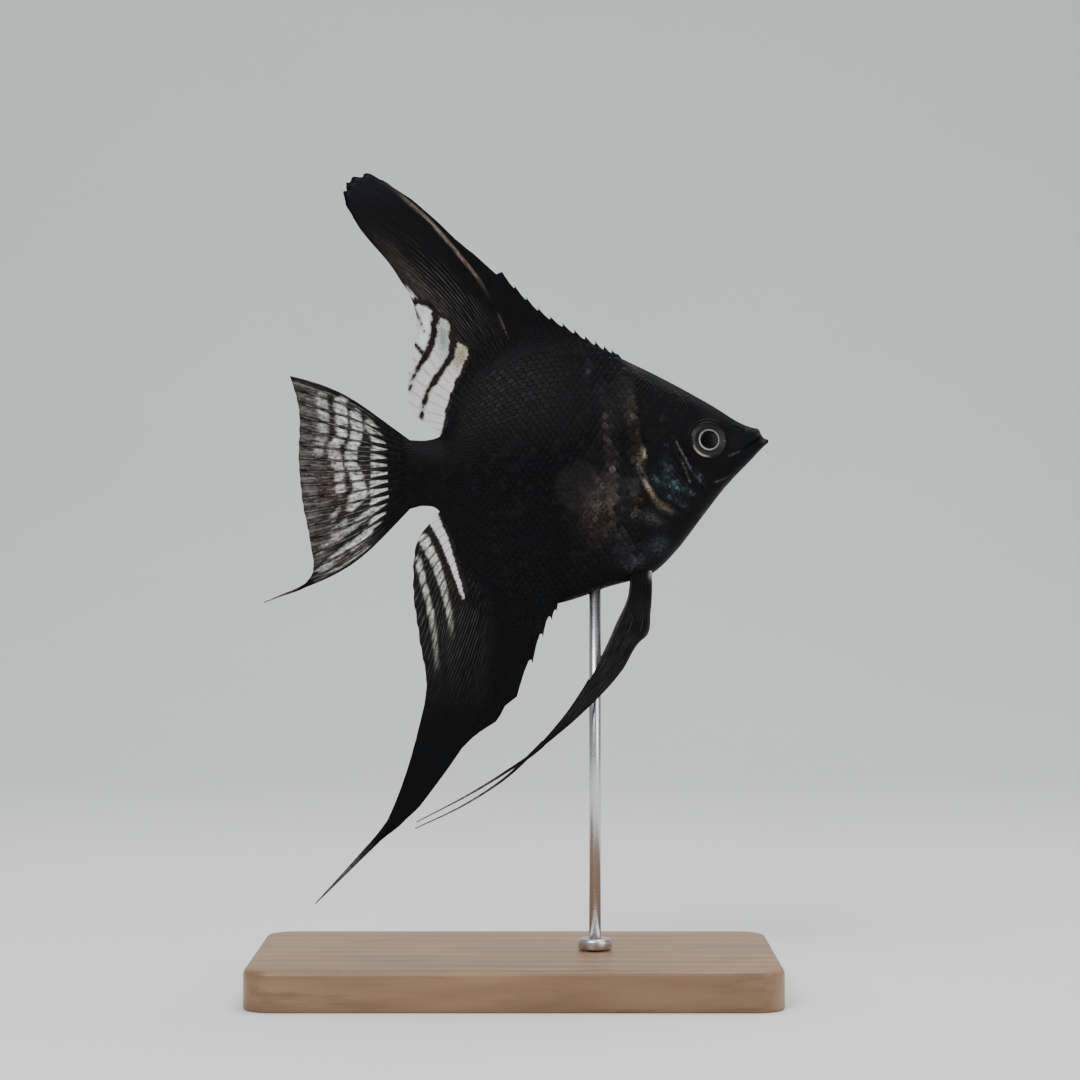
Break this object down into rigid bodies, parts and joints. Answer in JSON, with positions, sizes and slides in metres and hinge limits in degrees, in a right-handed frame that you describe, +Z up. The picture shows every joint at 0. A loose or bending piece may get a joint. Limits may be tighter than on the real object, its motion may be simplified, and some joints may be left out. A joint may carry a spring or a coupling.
{
  "type": "freshwater angelfish model",
  "caption": "Life-size still model of a black freshwater angelfish in level swim, held over a flat base by one slim rod.",
  "frame": {"origin": "under the middle of the whole model, on the underside of the base", "axes": "+X the way the fish swims, towards its snout; +Y to its left side; +Z up"},
  "size_m": [0.104, 0.06, 0.1634],
  "materials": {
    "body_skin": "wet scaled skin, near black, softly glossy",
    "fin_skin": "ribbed fin membrane, near black with pale bands on the tail",
    "clear_fin": "clear fin membrane with fine rays",
    "eyeball": "wet polished eye with a dark iris and a pale ring",
    "stand_wood": "satin oak",
    "stand_steel": "fine brushed"
  },
  "bodies": {
    "root": {"head": "body_skin", "upper_jaw": "body_skin", "lower_jaw": "body_skin", "gill_cover_right": "body_skin", "gill_cover_left": "body_skin", "trunk": "body_skin", "tail_stalk": "body_skin", "dorsal_fin_spines": "fin_skin", "dorsal_fin_rays": "fin_skin", "anal_fin_spines": "fin_skin", "anal_fin_rays": "fin_skin", "tail_fin": "fin_skin", "pelvic_fin_right": "fin_skin", "pelvic_fin_left": "fin_skin", "pectoral_fin_right": "clear_fin", "pectoral_fin_left": "clear_fin", "eye_right": "eyeball", "eye_left": "eyeball", "stand_base": "stand_wood", "stand_rod": "stand_steel", "stand_collar": "stand_steel"}
  },
  "joints": []
}
